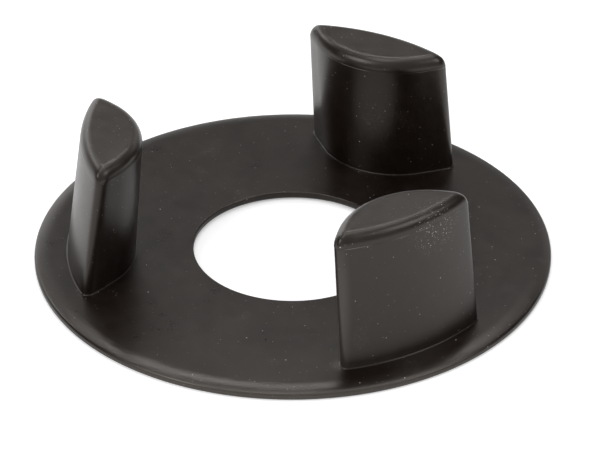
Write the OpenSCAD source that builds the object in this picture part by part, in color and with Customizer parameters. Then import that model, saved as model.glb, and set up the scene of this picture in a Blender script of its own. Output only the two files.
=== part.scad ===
// Blender jar pad: a round rubber disc with a central hole and three tall posts that hold a jar's foot.
// The origin is the centre of the disc on its underside and +Z is up. One post stands at the back, on +Y.
// The posts are almond-shaped seen from above. Both broad faces lean towards the hole.

/* [Disc] */
// Outside diameter of the disc
disc_d = 130; // [120:1:180]
// Thickness of the flat web
web_t = 2.2; // [1.8:0.1:3]
// Diameter of the central hole
hole_d = 50; // [30:1:60]
// Radius of the rounded upper edge of the hole
hole_edge_r = 0.3; // [0.1:0.05:0.6]

/* [Rim] */
// Width of the rounded rim, from the edge of the flat top to the side wall
rim_w = 4.7; // [3:0.1:5.2]
// Radius of the gently falling shoulder
shoulder_r = 16; // [14:0.5:30]
// Radius of the corner between the shoulder and the side wall
corner_r = 0.8; // [0.3:0.05:0.85]

/* [Posts] */
// Number of posts
post_count = 3; // [2:1:4]
// Height of the posts above the disc
post_h = 35.2; // [20:0.1:60]
// Length of a post at its foot, from tip to tip
post_len = 39.8; // [30:0.2:44]
// Width of the flat land outside the posts, from the side wall to the foot of the outer face
post_land = 8.3; // [6:0.1:12]
// Thickness of a post at its foot, through the middle
post_t = 17.1; // [14:0.1:24]
// Radius of the rounded top edge along the outer face and the inner side
top_edge_r = 3; // [1:0.1:4]
// Radius of the rounded top edge at the narrow ends
tip_edge_r = 3.8; // [1:0.1:5]
// Height of the small step around the foot of a post
foot_h = 0.2; // [0.1:0.05:0.6]
// Width of the small step around the foot of a post
foot_w = 0.25; // [0.1:0.05:0.6]

/* [Post faces] */
// Lean of the outer face towards the hole, in degrees
outer_lean = 7.2; // [0:0.1:9]
// Lean of the inner face towards the hole, in degrees
inner_lean = 4.3; // [0:0.1:8]
// Draft of the narrow end faces, in degrees
end_draft = 1.4; // [0:0.1:4]
// Radius of the rounded nose that faces the hole, at its foot
nose_r = 19.8; // [12:0.1:24]
// Angle between a flank beside the nose and the line through both tips, in degrees
flank_angle = 43.3; // [35:0.1:52]

/* [Hidden] */
$fn = 96;
// Length by which a cutting or bounding shape passes the faces that it meets
overrun = 1;
disc_r = disc_d / 2;
hole_r = hole_d / 2;
flat_r = disc_r - rim_w;
outer_r = disc_r - post_land;
nose_u = outer_r - post_t;
post_pitch = 360 / post_count;

// Centre of the corner arc, which touches the side wall and lies inside the shoulder arc
corner_x = disc_r - corner_r;
corner_z = web_t - shoulder_r + sqrt(pow(shoulder_r - corner_r, 2) - pow(corner_x - flat_r, 2));

// Point at the share s of the way from a to b, which may lie beyond b
function along(a, b, s) = a + (b - a) * s;

// The disc in section: flat web, shoulder arc, rounded corner and upright side wall
module disc_section() {
    shoulder = [flat_r, web_t - shoulder_r];
    corner = [corner_x, corner_z];
    meet = along(shoulder, corner, shoulder_r / (shoulder_r - corner_r));
    difference() {
        intersection() {
            union() {
                polygon([[hole_r, 0], [disc_r, 0], [disc_r, corner_z], meet, [flat_r, web_t], [hole_r, web_t]]);
                translate(corner) circle(corner_r);
                intersection() {
                    translate(shoulder) circle(shoulder_r);
                    polygon([[flat_r, 0], [meet.x, 0], [meet.x, web_t], [flat_r, web_t]]);
                }
            }
            square([disc_r, web_t]);
        }
        translate([hole_r, web_t - hole_edge_r]) difference() {
            translate([-overrun, 0]) square([overrun + hole_edge_r, hole_edge_r + overrun]);
            translate([hole_edge_r, 0]) circle(hole_edge_r);
        }
    }
}

module disc() {
    rotate_extrude() disc_section();
}

// A wall of a post seen end-on, solid from -back to its foot at reach. It leans back by lean degrees,
// or forward when lean is below zero, and its top edge is rounded by edge_r.
module wall_profile(reach, lean, edge_r = top_edge_r, back = 0) {
    edge_z = post_h - edge_r;
    edge_x = reach - (edge_z * sin(lean) + edge_r) / cos(lean);
    polygon([
        [-back, 0], [reach, 0],
        [edge_x + edge_r * cos(lean), edge_z + edge_r * sin(lean)],
        [edge_x, post_h], [-back, post_h]
    ]);
    translate([edge_x, edge_z]) circle(edge_r);
}

// The two walls that bound a post on both sides of its middle. Each faces angle degrees away from +X,
// and runs straight past the post.
module wall_pair(angle) {
    intersection_for(side = [-1, 1])
        rotate([90, 0, side * angle])
        linear_extrude(2 * disc_r, center = true)
        children();
}

// The inner side of a post: a rounded nose between two flat flanks that touch it.
// The nose's axis stands at the origin, and the nose points along -X.
module inner_side() {
    flank_turn = 180 - flank_angle;
    rotate_extrude() wall_profile(nose_r, -inner_lean);
    difference() {
        wall_pair(flank_turn) wall_profile(nose_r, -inner_lean, back = disc_r);
        linear_extrude(3 * post_h, center = true)
            polygon([
                [0, 0],
                disc_r * [cos(flank_turn), sin(flank_turn)],
                disc_r * [cos(flank_turn), -sin(flank_turn)]
            ]);
    }
}

// One post on +X, with its foot at z = 0
module post() {
    intersection() {
        rotate_extrude() wall_profile(outer_r, outer_lean);
        wall_pair(90) wall_profile(post_len / 2, end_draft, tip_edge_r, back = disc_r);
        translate([nose_u + nose_r, 0, 0]) inner_side();
    }
}

// The small step that runs around the foot of a post. It follows the foot's outline, moved out by foot_w.
module foot_step() {
    reach = nose_r + foot_w;
    touch = reach * [-cos(flank_angle), sin(flank_angle)];
    far = touch + disc_r * [sin(flank_angle), cos(flank_angle)];
    linear_extrude(foot_h) intersection() {
        circle(outer_r + foot_w);
        square([2 * disc_r, post_len + 2 * foot_w], center = true);
        translate([nose_u + nose_r, 0]) {
            circle(reach);
            polygon([touch, far, [far.x, -far.y], [touch.x, -touch.y]]);
        }
    }
}

// The whole pad, moulded in one piece
module jar_pad() {
    color([0.13, 0.125, 0.12]) union() {
        disc();
        for (i = [0 : post_count - 1])
            rotate([0, 0, 90 + i * post_pitch]) translate([0, 0, web_t]) {
                post();
                foot_step();
            }
    }
}

jar_pad();
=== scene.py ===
"""Blender jar pad of black rubber: a thin disc with a central hole and three tall almond-shaped posts.

The skin is worked out in millimetres from the same sizes as the solid, and made in metres.
The row frame: origin on the underside at the disc's centre, +Z up, one post on +Y.
"""
import math

import bpy
import numpy as np
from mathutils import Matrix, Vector


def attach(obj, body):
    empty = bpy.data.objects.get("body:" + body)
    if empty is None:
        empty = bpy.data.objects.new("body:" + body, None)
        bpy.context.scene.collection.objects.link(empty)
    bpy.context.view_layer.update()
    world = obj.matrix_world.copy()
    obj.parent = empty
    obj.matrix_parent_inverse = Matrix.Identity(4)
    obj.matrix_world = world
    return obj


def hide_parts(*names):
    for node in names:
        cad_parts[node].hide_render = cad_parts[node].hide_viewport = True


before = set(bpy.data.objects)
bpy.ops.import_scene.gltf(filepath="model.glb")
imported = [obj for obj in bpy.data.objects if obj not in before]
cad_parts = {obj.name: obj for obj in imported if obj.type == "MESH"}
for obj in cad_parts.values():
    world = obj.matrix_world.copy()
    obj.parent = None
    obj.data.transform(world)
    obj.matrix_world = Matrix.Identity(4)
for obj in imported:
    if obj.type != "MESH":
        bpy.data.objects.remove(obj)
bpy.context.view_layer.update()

MM = 0.001

# Disc
DISC_R = 65.0
WEB_T = 2.2
HOLE_R = 25.0
HOLE_EDGE_R = 0.3
RIM_W = 4.7
SHOULDER_R = 16.0
CORNER_R = 0.8
HOLE_UNDER_R = 1.3
RIM_UNDER_R = 0.45

# Posts
POST_COUNT = 3
POST_H = 35.2
POST_HALF = 19.9
POST_LAND = 8.3
POST_T = 17.1
TOP_EDGE_R = 3.0
TIP_EDGE_R = 3.8
OUTER_LEAN = 7.2
INNER_LEAN = 4.3
END_DRAFT = 1.4
NOSE_R = 19.8
FLANK_ANGLE = 43.3
OUTER_R = DISC_R - POST_LAND
NOSE_U = OUTER_R - POST_T
NOSE_C = NOSE_U + NOSE_R
CORE_U = 46.0
SOFTNESS = 0.55
FOOT_W = 0.25
FOOT_H = 0.2
ROOT_DEPTH = 0.5
SEAM_Z = POST_H - 3.4
SEAM_H = 0.035
SEAM_W = 0.09

# Camera: azimuth and elevation of the view, distance to the point it looks at, and how far that point
# lies to the right of the disc's centre and beyond it, as the camera sees them
VIEW_AZIMUTH = 26.65
VIEW_ELEVATION = 32.57
VIEW_DISTANCE = 1.14817
VIEW_RIGHT = 0.00641
VIEW_BEYOND = 0.01683
LENS = 270.0
FRAME_W = 600
FRAME_CENTRE = (300.0, 225.0)
AXIS_PIXEL = (318.34, 216.7)

# Where dust lies in a cluster on an outer face, and where the rim and one upright edge get a painted
# reflection, a lighter grey, in millimetres. The place of the upright edge is in plan
FACE_DUST = (48.8, -20.0, 33.0)
RIM_SHEEN_SPOT = (29.2, -58.1, 1.0)
EDGE_SHEEN_SPOT = (34.3, -42.3, 0.0)

# The floor: half its side and its gap to the pad in millimetres, its own white and the white of its shaded
# part, a painted shade seen in gloss, and what it gains to the eye, less in the hole as painted shade, and,
# near the pad and further off, in gloss, less near the pad as painted shade
FLOOR_HALF = 4000.0
FLOOR_GAP = 0.1
FLOOR_WHITE = 0.85
FLOOR_SHADED = 0.72
GLOW_SEEN = 0.39
GLOW_IN_HOLE_SHADE = 0.36
GLOW_GLOSS = 0.26
GLOW_FAR = 0.32

# The greys of the room: its sides, the wall behind the viewer, the backdrop, overhead, and the low sweep
ROOM = 0.04
FRONT_WALL = 0.50
BACKDROP = 0.37
OVERHEAD = 0.70
SWEEP = 0.85


def mesh_object(name, points, faces, material):
    """A mesh from points in millimetres and faces, smooth, at the origin."""
    mesh = bpy.data.meshes.new(name)
    mesh.from_pydata((points * MM).tolist(), [], faces)
    mesh.shade_smooth()
    mesh.materials.append(material)
    piece = bpy.data.objects.new(name, mesh)
    bpy.context.scene.collection.objects.link(piece)
    return piece


def ring_faces(rows, columns, closed_rows=False):
    """Quads between the rings of a grid whose columns run round. Row i+1 lies after row i."""
    count = rows if closed_rows else rows - 1
    i, j = np.meshgrid(np.arange(count), np.arange(columns), indexing="ij")
    below, above = i * columns, ((i + 1) % rows) * columns
    beside = (j + 1) % columns
    return np.stack([below + j, below + beside, above + beside, above + j], axis=-1).reshape(-1, 4)


def arc(centre, radius, start, end, count):
    """Points on a circle's arc in the plane, from the start angle to the end angle in degrees."""
    turn = np.radians(np.linspace(start, end, count))
    return np.stack([centre[0] + radius * np.cos(turn), centre[1] + radius * np.sin(turn)], axis=-1)


def disc_profile():
    """The disc's section as radius and height, from the underside round the rim and back to the hole.

    The shoulder is an arc that touches the flat top, and the corner is an arc inside it that touches the
    side wall, so their common direction is that from one centre to the other.
    """
    flat_r = DISC_R - RIM_W
    corner_x = DISC_R - CORNER_R
    corner_z = WEB_T - SHOULDER_R + math.sqrt((SHOULDER_R - CORNER_R) ** 2 - (corner_x - flat_r) ** 2)
    shoulder = (flat_r, WEB_T - SHOULDER_R)
    common = math.degrees(math.atan2(corner_z - shoulder[1], corner_x - flat_r))
    low, inner_low = RIM_UNDER_R, HOLE_UNDER_R
    # The rings of a flat lie closest at its ends, so that the shading of the roundings stops there
    shares = np.array([0.003, 0.03, 0.2, 0.5, 0.8, 0.97, 0.997])
    under = HOLE_R + inner_low + shares * (DISC_R - low - HOLE_R - inner_low)
    top = flat_r + shares * (HOLE_R + HOLE_EDGE_R - flat_r)
    parts = [
        np.stack([under, np.zeros_like(under)], axis=-1),
        arc((DISC_R - low, low), low, -90, 0, 8),
        arc((corner_x, corner_z), CORNER_R, 0, common, 14)[:-1],
        arc(shoulder, SHOULDER_R, common, 90, 20),
        np.stack([top, np.full_like(top, WEB_T)], axis=-1),
        arc((HOLE_R + HOLE_EDGE_R, WEB_T - HOLE_EDGE_R), HOLE_EDGE_R, 90, 180, 8),
        arc((HOLE_R + inner_low, inner_low), inner_low, 180, 270, 12),
    ]
    return np.concatenate(parts)


def disc_skin(columns=576):
    """The disc's section turned round the axis: x = r cos a, y = r sin a."""
    section = disc_profile()
    turn = np.linspace(0, 2 * math.pi, columns, endpoint=False)
    radius, height = section[:, :1], section[:, 1:]
    points = np.stack(
        [radius * np.cos(turn), radius * np.sin(turn), height * np.ones_like(turn)], axis=-1
    )
    return points.reshape(-1, 3), ring_faces(len(section), columns, closed_rows=True)


def reach(z, foot, lean, edge_r=TOP_EDGE_R):
    """How far a wall stands out at height z: foot - z tan(lean), then the arc of the rounded top edge."""
    lean = math.radians(lean)
    edge_z = POST_H - edge_r
    edge_x = foot - (edge_z * math.sin(lean) + edge_r) / math.cos(lean)
    straight = foot - z * math.tan(lean)
    rounded = edge_x + np.sqrt(np.clip(edge_r**2 - (z - edge_z) ** 2, 0, None))
    return np.where(z < edge_z + edge_r * math.sin(lean), straight, rounded)


def tip_angles(outer, nose, end):
    """Directions from the core to the two corners of a tip: outer wall with end, and end with flank.

    Where the outer wall meets the flank before the end does, both corners are that meeting point.
    """
    flank = math.radians(FLANK_ANGLE)
    # A point of the flank at distance s from where it leaves the nose is start + s * along
    start = np.stack([NOSE_C - nose * math.cos(flank), nose * math.sin(flank)], axis=-1)
    along = np.array([math.sin(flank), math.cos(flank)])
    b = start @ along
    s = -b + np.sqrt(np.clip(b**2 - (start**2).sum(axis=-1) + outer**2, 0, None))
    meet = start + s[:, None] * along
    cut = np.minimum(end, meet[:, 1])
    first = np.arctan2(cut, np.sqrt(outer**2 - cut**2) - CORE_U)
    second = np.arctan2(cut, start[:, 0] + (cut - start[:, 1]) * math.tan(flank) - CORE_U)
    gap = np.maximum(second - first, math.radians(2.0))
    middle = (first + second) / 2
    return middle - gap / 2, middle + gap / 2


def outline(z, side_columns=(44, 10, 56)):
    """Outlines of a post at the heights z, as points (u, t): u outwards from the disc's axis, t along it.

    Along each direction from the core the distances to the outer wall, the inner side and the end are
    found, and their soft minimum, -k log(sum(exp(-d / k))), rounds the upright edges.
    """
    flank = math.radians(FLANK_ANGLE)
    outer = reach(z, OUTER_R, OUTER_LEAN)
    nose = reach(z, NOSE_R, -INNER_LEAN)
    end = reach(z, POST_HALF, END_DRAFT, TIP_EDGE_R)
    first, second = tip_angles(outer, nose, end)
    spans = ((0 * z, first), (first, second), (second, 0 * z + math.pi))
    easings = (
        lambda x: 1 - (1 - x) ** 2.2,
        lambda x: x,
        lambda x: x**2.0,
    )
    parts = []
    for (low, high), easing, count in zip(spans, easings, side_columns):
        share = easing(np.linspace(0, 1, count, endpoint=False))
        parts.append(low[:, None] + (high - low)[:, None] * share)
    half = np.concatenate(parts + [np.full((len(z), 1), math.pi)], axis=1)
    outer, nose, end = outer[:, None], nose[:, None], end[:, None]
    sine, cosine = np.sin(half), np.cos(half)
    to_outer = -CORE_U * cosine + np.sqrt(outer**2 - (CORE_U * sine) ** 2)
    back = NOSE_C - CORE_U
    to_nose = back * cosine + np.sqrt(nose**2 - (back * sine) ** 2)
    facing = -np.cos(half + flank)
    to_flank = (nose - back * math.cos(flank)) / np.where(facing > 1e-3, facing, 1e-3)
    on_nose = np.arctan2(to_nose * sine, back - to_nose * cosine) < flank
    to_inner = np.where(on_nose, to_nose, to_flank)
    to_end = end / np.maximum(sine, 1e-3)
    distance = np.stack([to_outer, np.minimum(to_inner, 200), np.minimum(to_end, 200)])
    soft = -SOFTNESS * np.log(np.exp(-distance / SOFTNESS + distance.min(axis=0) / SOFTNESS).sum(axis=0))
    length = distance.min(axis=0) + soft
    u, t = CORE_U + length * cosine, length * sine
    u = np.concatenate([u, u[:, -2:0:-1]], axis=1)
    t = np.concatenate([t, -t[:, -2:0:-1]], axis=1)
    return np.stack([u, t], axis=-1)


def moved_out(loop, offset):
    """Outlines moved outwards, at right angles to their own run, by an offset for each outline."""
    run = np.roll(loop, -1, axis=1) - np.roll(loop, 1, axis=1)
    run /= np.linalg.norm(run, axis=-1, keepdims=True)
    normal = np.stack([run[..., 1], -run[..., 0]], axis=-1)
    return loop + offset[:, None, None] * normal


def post_skin():
    """One post on +X as rings: the root inside the disc, the foot's bead, the walls with the raised mould
    line, the rounded top edge, and the flat top as rings that shrink to its middle."""
    bead = np.radians(np.linspace(0, 90, 7))
    foot_z = np.concatenate([[-ROOT_DEPTH], FOOT_H * np.sin(bead)])
    foot_out = np.concatenate([[FOOT_W], FOOT_W * np.cos(bead) + 0.02])
    edge_z = POST_H - TOP_EDGE_R
    seam = SEAM_Z + SEAM_W * np.linspace(-1.5, 1.5, 9)
    walls = np.concatenate([np.linspace(FOOT_H + 0.1, seam[0] - 0.2, 28), seam])
    round_start = math.asin((seam[-1] + 0.12 - edge_z) / TOP_EDGE_R)
    rounding = edge_z + TOP_EDGE_R * np.sin(np.linspace(round_start, math.pi / 2, 30))
    z = np.concatenate([foot_z, walls, rounding])
    line_out = SEAM_H * np.exp(-(((walls - SEAM_Z) / SEAM_W * 1.6) ** 2))
    out = np.concatenate([foot_out, line_out, 0 * rounding])
    loops = moved_out(outline(np.maximum(z, 0)), out)
    heights = np.broadcast_to(z[:, None, None], loops.shape[:2] + (1,))
    rings = [np.concatenate([loops, heights], axis=-1)]
    core = np.array([CORE_U, 0.0])
    for share in (0.93, 0.8, 0.62, 0.42, 0.22, 0.08):
        inner = core + (loops[-1] - core) * share
        rings.append(np.concatenate([inner, np.full((len(inner), 1), POST_H)], axis=-1)[None])
    rings = np.concatenate(rings)
    rows, columns = rings.shape[:2]
    points = np.concatenate([rings.reshape(-1, 3), [[CORE_U, 0, POST_H], [CORE_U, 0, -ROOT_DEPTH]]])
    here = np.arange(columns)
    beside = (here + 1) % columns
    top, root = rows * columns, rows * columns + 1
    last = (rows - 1) * columns
    caps = [np.stack([last + here, last + beside, 0 * here + top], axis=-1),
            np.stack([beside, here, 0 * here + root], axis=-1)]
    points[:, 2] += WEB_T
    return points, ring_faces(rows, columns), np.concatenate(caps)


def turned(points, angle):
    """Points turned about the disc's axis by an angle in degrees."""
    c, s = math.cos(math.radians(angle)), math.sin(math.radians(angle))
    return points @ np.array([[c, s, 0], [-s, c, 0], [0, 0, 1]])


class Wire:
    """An output of a shader node. Each operator between wires and numbers adds one Math node."""

    def __init__(self, shading, socket):
        self.shading, self.socket = shading, socket

    def math(self, operation, *others):
        return self.shading.maths(operation, self, *others)

    def __add__(self, other):
        return self.math("ADD", other)

    def __sub__(self, other):
        return self.math("SUBTRACT", other)

    def __rsub__(self, other):
        return self.shading.maths("SUBTRACT", other, self)

    def __mul__(self, other):
        return self.math("MULTIPLY", other)

    __radd__ = __add__
    __rmul__ = __mul__


class Shading:
    """The nodes of a material or of the world."""

    def __init__(self, owner):
        owner.use_nodes = True
        self.tree = owner.node_tree
        self.tree.nodes.clear()

    def node(self, kind, settings=None, inputs=None, out=0):
        """Adds a node: first its settings, then each socket's value or link."""
        node = self.tree.nodes.new("ShaderNode" + kind)
        for name, value in (settings or {}).items():
            setattr(node, name, value)
        for name, value in (inputs or {}).items():
            if isinstance(value, Wire):
                self.tree.links.new(value.socket, node.inputs[name])
            else:
                node.inputs[name].default_value = value
        return Wire(self, node.outputs[out]) if node.outputs else None

    def maths(self, operation, *values):
        return self.node("Math", {"operation": operation}, dict(enumerate(values)))

    def mix(self, factor, first, second):
        """The first colour where factor is 0 and the second where it is 1."""
        return self.node("Mix", {"data_type": "RGBA"}, {0: factor, 6: first, 7: second}, out=2)

    def between(self, value, low, high):
        """0 below low, 1 above high, smooth between them."""
        settings = {"interpolation_type": "SMOOTHSTEP"}
        return self.node("MapRange", settings, {"Value": value, "From Min": low, "From Max": high})

    def noise(self, place, size, detail=3.0, rough=0.55):
        """Noise whose blotches are about the given size in millimetres across."""
        inputs = {"Vector": place, "Scale": 1 / (size * MM), "Detail": detail, "Roughness": rough}
        return self.node("TexNoise", None, inputs)


def grey(value, warmth=0.0):
    """A grey colour, warmer above zero."""
    return (value * (1 + warmth), value, value * (1 - warmth), 1.0)


def brown(value):
    """A warm black."""
    return (value * 2.0, value, value * 0.7, 1.0)


def specks(shading, place, cell, radius, least):
    """Dust specks: small soft dots round points scattered in space, about one in each cell.

    Cell and radius are in millimetres. Sizes and brightness differ from dot to dot, and a dot whose
    random number lies below least is left out.
    """
    inputs = {"Vector": place, "Scale": 1 / (cell * MM)}
    distance = shading.node("TexVoronoi", {"feature": "F1"}, inputs)
    colour = shading.node("TexVoronoi", {"feature": "F1"}, inputs, out=1)
    pick = shading.node("SeparateColor", None, {0: colour})
    size = shading.node("SeparateColor", None, {0: colour}, out=1)
    limit = (size * 0.6 + 0.4) * (radius / cell)
    return shading.between(limit - distance, 0.0, 0.4 * radius / cell) * shading.between(pick, least, 1.0)


def near(shading, place, spot, start, end):
    """1 within start millimetres of a spot, and 0 beyond end."""
    spot = tuple(MM * along for along in spot)
    away = shading.node("VectorMath", {"operation": "DISTANCE"}, {0: place, 1: spot}, out=1)
    return 1 - shading.between(away, start * MM, end * MM)


def scratches(shading, place, turn, size, width, share):
    """Fine straight scratches in one direction: long thin cells of noise, cut off short."""
    inputs = {"Vector": place, "Rotation": (0.3, 0.2, turn), "Scale": (1, 14, 5)}
    laid = shading.node("Mapping", None, inputs)
    line = shading.noise(laid, size, 1.0)
    patch = shading.noise(place, 9.0, 1.0)
    thin = 1 - shading.between(shading.maths("ABSOLUTE", line - 0.5), 0.0, width)
    return thin * shading.between(patch, 1 - share, 1 - share + 0.04)


def rubber():
    """Moulded black rubber: satin and warm, faintly mottled, with a powdery bloom that lies thicker on the
    tops, a painted reflection that makes the near rim and one upright edge lighter grey, dust specks in
    clusters, a painted highlight along the mould line and fine scratches."""
    material = bpy.data.materials.new("rubber_black")
    s = Shading(material)
    place = s.node("TexCoord", None, None, out="Object")
    height = s.node("SeparateXYZ", None, {0: place}, out=2)
    from_origin = s.node("VectorMath", {"operation": "LENGTH"}, {0: place}, out=1)
    plan = s.node("VectorMath", {"operation": "MULTIPLY"}, {0: place, 1: (1.0, 1.0, 0.0)})
    broad = s.noise(place, 22.0, 2.0)
    mottle = s.noise(place, 3.5, 4.0)
    grain = s.noise(place, 0.45, 2.0)
    seam_height = (WEB_T + SEAM_Z) * MM
    on_top = s.between(height, seam_height, (WEB_T + POST_H - 0.2) * MM)
    clusters = s.between(broad, 0.48, 0.66) + on_top * 0.5
    dots = specks(s, place, 2.2, 0.21, 0.1)
    fine_dots = specks(s, place, 1.2, 0.19, 0.2) * (clusters * 0.3 + 0.3)
    cluster = near(s, place, FACE_DUST, 1.0, 9.0)
    face_dots = specks(s, place, 0.45, 0.16, 0.05) * cluster * s.between(mottle, 0.3, 0.5)
    big_dots = specks(s, place, 5.0, 0.20, 0.0)
    marks = scratches(s, place, 0.6, 6.0, 0.012, 0.34) + scratches(s, place, 2.1, 7.0, 0.01, 0.32)
    on_seam = 1 - s.between(s.maths("ABSOLUTE", height - seam_height), 0.03 * MM, 0.14 * MM)
    # Painted highlight: a patchy lighter grey along the raised mould line
    seam_highlight = on_seam * s.between(s.noise(place, 8.0, 1.0), 0.5, 0.7) * 0.20
    dust = dots * 0.6 + big_dots + fine_dots * 0.7 + face_dots * 1.3 + marks * 0.06 + seam_highlight
    dust = s.maths("MINIMUM", dust, 1.0)
    # Painted reflection: a lighter grey on the rim nearest the viewer and on one upright edge of the front
    # post, carried into the colour with the bloom
    on_rim = s.between(from_origin, (DISC_R - 1.6) * MM, (DISC_R - 0.2) * MM)
    painted_sheen = near(s, place, RIM_SHEEN_SPOT, 25.0, 62.0) * on_rim * 0.14 + near(s, plan, EDGE_SHEEN_SPOT, 0.5, 3.2) * 0.13
    bloom = s.between(mottle, 0.3, 0.8) * (0.006 + on_top * 0.02) + on_top * 0.012 + cluster * 0.02 + painted_sheen
    tone = s.mix(s.between(mottle, 0.3, 0.7), brown(0.0024), brown(0.0036))
    tone = s.mix(s.between(broad, 0.35, 0.65) * 0.5, tone, brown(0.0042))
    tone = s.mix(bloom, tone, grey(0.30, 0.10))
    tone = s.mix(dust, tone, grey(0.70, 0.07))
    rough = 0.27 + s.between(mottle, 0.3, 0.7) * 0.03 + s.between(broad, 0.3, 0.7) * 0.03
    rough = rough + on_top * 0.03 + dust * 0.4
    bump = s.node("Bump", None, {"Strength": 0.35, "Distance": 0.06 * MM, "Height": grain + mottle * 0.6})
    shader = s.node("BsdfPrincipled", None, {
        "Base Color": tone, "Roughness": rough, "Normal": bump, "IOR": 1.52,
        "Specular Tint": (1.0, 0.93, 0.86, 1.0),
    })
    s.node("OutputMaterial", None, {"Surface": shader})
    return material


def floor_material():
    """White floor: it takes light as a plain white and shows pure white to the eye, with painted shade: a
    little less white to the eye in the hole, and a white in gloss that is brighter further off and darker
    in the part in the hole that the posts shade."""
    material = bpy.data.materials.new("white_floor")
    s = Shading(material)
    eye = s.node("LightPath", None, None, out="Is Camera Ray")
    gloss = s.node("LightPath", None, None, out="Is Glossy Ray")
    gloss = gloss + s.node("LightPath", None, None, out="Is Transmission Ray")
    place = s.node("TexCoord", None, None, out="Object")
    middle = (0.0, 0.0, 0.0)
    shaded = near(s, place, middle, 22.0, 30.0)
    hole = near(s, place, middle, HOLE_R + 1.0, HOLE_R + 3.0)
    far = 1 - near(s, place, middle, 60.0, 200.0)
    # Painted shade: less glow to the eye in the hole, and in gloss less glow near the pad and none in the
    # hole
    glow_seen = GLOW_SEEN - hole * (GLOW_SEEN - GLOW_IN_HOLE_SHADE)
    glow_gloss = (1 - shaded) * (far * GLOW_FAR + GLOW_GLOSS)
    glow = s.mix(eye * glow_seen + gloss * glow_gloss, grey(0.0), grey(1.0))
    lit = s.node("Emission", None, {"Color": glow, "Strength": 1.0})
    # Painted shade: a darker white in gloss in the hole, where the posts shade it
    colour = s.mix(gloss * shaded, grey(FLOOR_WHITE), grey(FLOOR_SHADED))
    matt = s.node("BsdfDiffuse", None, {"Color": colour})
    s.node("OutputMaterial", None, {"Surface": s.node("AddShader", None, {0: matt, 1: lit})})
    return material


def studio_world():
    """A room with dark sides: bright overhead, a dimmer backdrop behind the object whose foot is a white
    sweep at the left, and a grey wall on the viewer's side. The camera sees white."""
    world = bpy.data.worlds.new("studio")
    s = Shading(world)
    direction = s.node("TexCoord", None, None, out="Generated")
    up = s.node("SeparateXYZ", None, {0: direction}, out=2)

    def facing(side):
        """1 towards that side of the room and 0 at right angles to it."""
        inputs = {0: direction, 1: from_view(side, 0)}
        return s.node("VectorMath", {"operation": "DOT_PRODUCT"}, inputs, out=1)

    def above(low, high):
        """0 below the lower height in degrees, and 1 above the higher one."""
        return s.between(up, math.sin(math.radians(low)), math.sin(math.radians(high)))

    left_behind, behind, front = facing(-28), facing(-5), facing(180)
    room = s.mix(s.between(front, 0.1, 0.6), grey(ROOM), grey(FRONT_WALL))
    fade = 1 - above(24, 40) * 0.45
    room = s.mix(s.between(behind, 0.45, 0.75) * above(10, 22) * fade, room, grey(BACKDROP))
    room = s.mix(above(56, 74), room, grey(OVERHEAD))
    low = 1 - above(8, 16)
    sweep = s.mix(low * s.between(left_behind, 0.3, 0.95), room, grey(SWEEP))
    seen = s.node("LightPath", None, None, out="Is Camera Ray")
    sky = s.node("Background", None, {"Color": s.mix(seen, sweep, grey(1.0)), "Strength": 1.0})
    s.node("OutputWorld", None, {"Surface": sky})
    return world


def from_view(side, height):
    """Direction towards a lamp that the camera sees side degrees right of straight behind the object and
    height degrees above the floor."""
    a = math.radians(VIEW_AZIMUTH - side)
    h = math.radians(height)
    return Vector((-math.sin(a) * math.cos(h), math.cos(a) * math.cos(h), math.sin(h)))


def soft_lamp(name, side, height, distance, size, radiance):
    """A rectangular lamp that faces the object. Its power is pi times its area times its radiance."""
    data = bpy.data.lights.new(name, "AREA")
    data.shape = "RECTANGLE"
    data.size, data.size_y = size
    data.energy = math.pi * size[0] * size[1] * radiance
    lamp = bpy.data.objects.new(name, data)
    direction = from_view(side, height)
    lamp.location = direction * distance
    lamp.rotation_euler = direction.to_track_quat("Z", "Y").to_euler()
    bpy.context.scene.collection.objects.link(lamp)


rubber_black = rubber()

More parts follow.
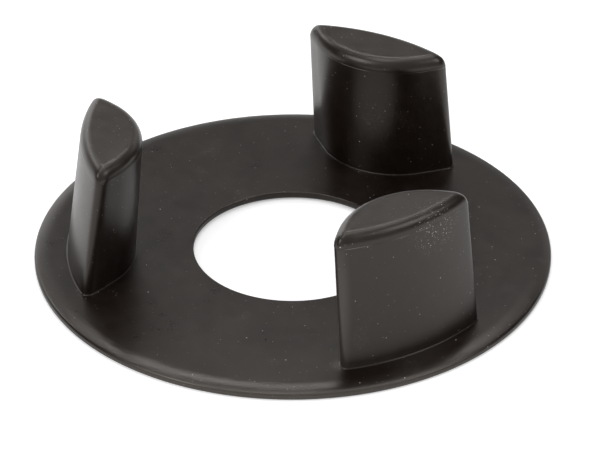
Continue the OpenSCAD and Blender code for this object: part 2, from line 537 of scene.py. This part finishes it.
points, faces = disc_skin()
all_points, all_faces = [points], faces.tolist()
start = len(points)
post_points, post_quads, post_caps = post_skin()
for number in range(POST_COUNT):
    all_points.append(turned(post_points, 90 + number * 360 / POST_COUNT))
    all_faces += (post_quads + start).tolist() + (post_caps + start).tolist()
    start += len(post_points)
pad = mesh_object("rubber_pad", np.concatenate(all_points), all_faces, rubber_black)
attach(pad, "root")
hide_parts("jar_pad")

corners = FLOOR_HALF * np.array([[-1, -1, 0], [1, -1, 0], [1, 1, 0], [-1, 1, 0]]) - [0, 0, FLOOR_GAP]
floor = mesh_object("floor", corners, [(0, 1, 2, 3)], floor_material())

bpy.context.scene.world = studio_world()
soft_lamp("key", -42, 36, 1.1, (0.28, 0.20), 5)
soft_lamp("top_strip", -2, 51, 1.0, (0.60, 0.05), 17)
soft_lamp("top_right", 38, 66, 0.9, (0.32, 0.26), 2.6)
soft_lamp("top_left", -70, 82, 0.9, (0.34, 0.20), 4.0)
soft_lamp("right_side", 106, 46, 0.9, (0.36, 0.32), 4.0)
soft_lamp("left_side", -120, 44, 0.9, (0.36, 0.32), 6.0)
soft_lamp("back_left_window", -27, 18, 1.0, (0.45, 0.30), 1.8)
soft_lamp("back_right_window", 36, 22, 1.0, (0.55, 0.28), 0.8)

scene = bpy.context.scene
azimuth, elevation = math.radians(VIEW_AZIMUTH), math.radians(VIEW_ELEVATION)
behind = Vector((-math.sin(azimuth), math.cos(azimuth), 0))
right = Vector((math.cos(azimuth), math.sin(azimuth), 0))
towards = Vector((0, 0, math.sin(elevation))) - behind * math.cos(elevation)
lens = bpy.data.cameras.new("camera")
lens.sensor_width = 36.0
lens.lens = LENS
lens.shift_x = (FRAME_CENTRE[0] - AXIS_PIXEL[0]) / FRAME_W
lens.shift_y = (AXIS_PIXEL[1] - FRAME_CENTRE[1]) / FRAME_W
lens.clip_start, lens.clip_end = 0.05, 50.0
camera = bpy.data.objects.new("camera", lens)
camera.location = right * VIEW_RIGHT + behind * VIEW_BEYOND + towards * VIEW_DISTANCE
camera.rotation_euler = towards.to_track_quat("Z", "Y").to_euler()
scene.collection.objects.link(camera)
scene.camera = camera
scene.view_settings.view_transform = "Standard"
